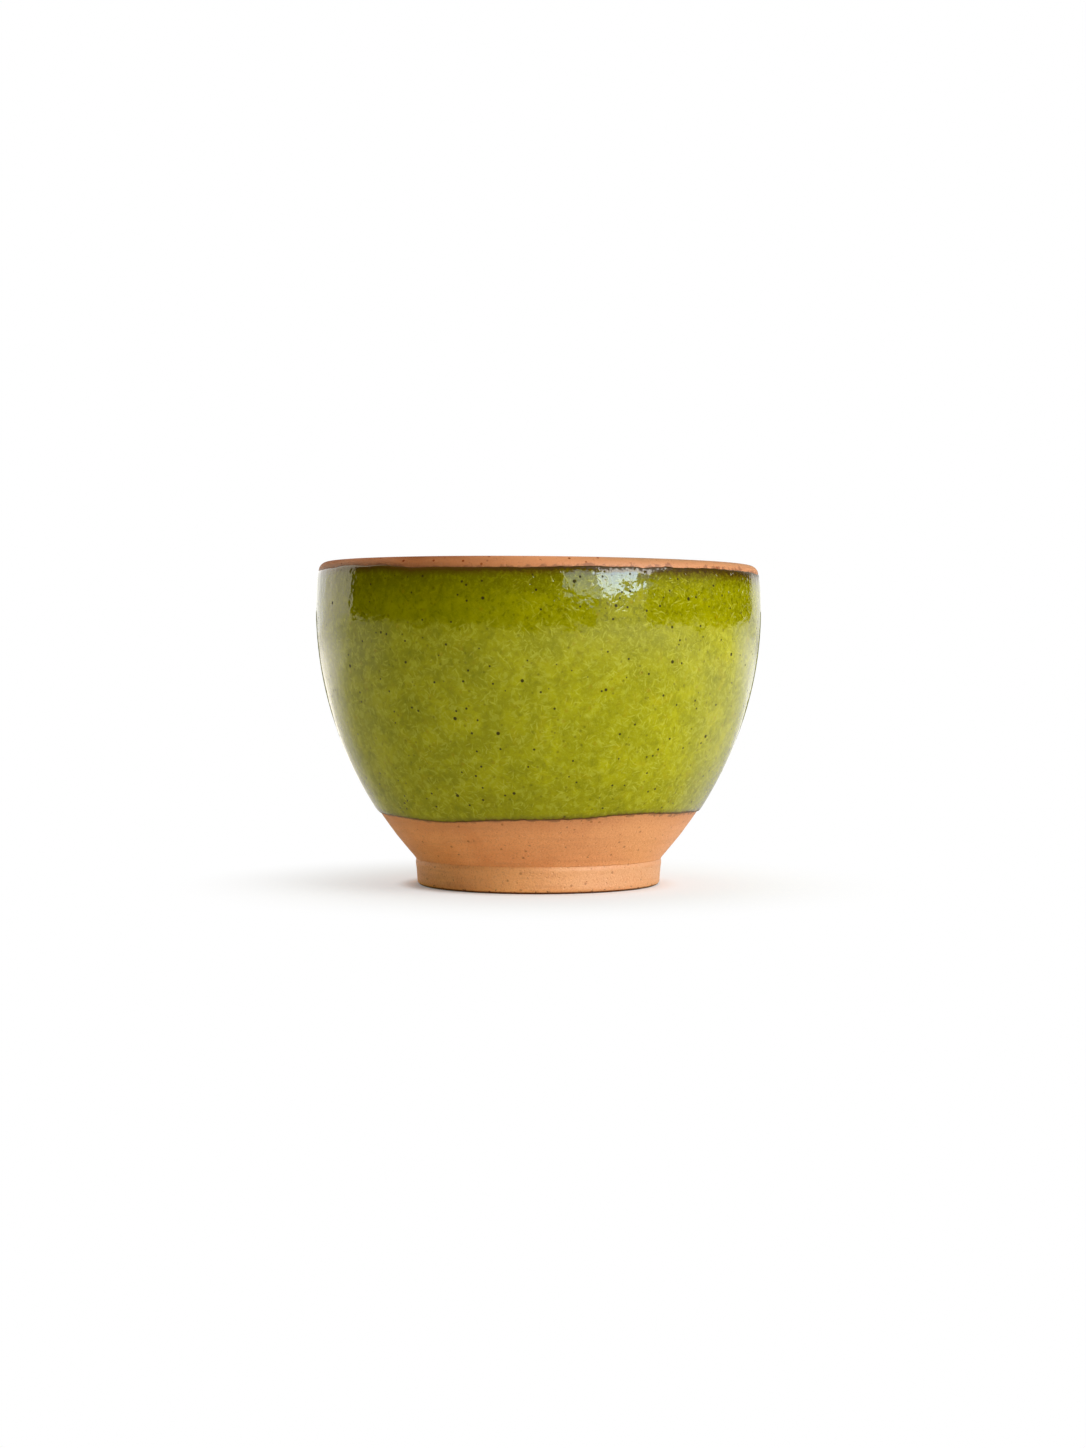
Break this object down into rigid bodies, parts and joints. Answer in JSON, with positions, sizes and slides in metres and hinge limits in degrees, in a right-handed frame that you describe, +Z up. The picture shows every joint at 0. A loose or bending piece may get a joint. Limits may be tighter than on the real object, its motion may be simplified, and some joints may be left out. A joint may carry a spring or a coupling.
{
  "type": "cup",
  "caption": "Handleless pottery cup: thrown clay bowl on a turned foot ring, glazed green outside and in, with bare clay lip and foot.",
  "frame": {"origin": "centre of the foot ring's flat underside, on the table", "axes": "+Z up along the cup's turning axis; -Y is the side that faced the camera, +X to its right"},
  "size_m": [0.1, 0.1, 0.0724],
  "materials": {
    "clay": "matte fired clay, fine sandy grain",
    "coat_glaze": "glossy mottled yellow-green glaze with dark iron specks",
    "lining_glaze": "glossy mottled yellow-green glaze"
  },
  "bodies": {
    "root": {"cup_body": "clay", "foot_ring": "clay", "outer_glaze": "coat_glaze", "inner_glaze": "lining_glaze"}
  },
  "joints": []
}
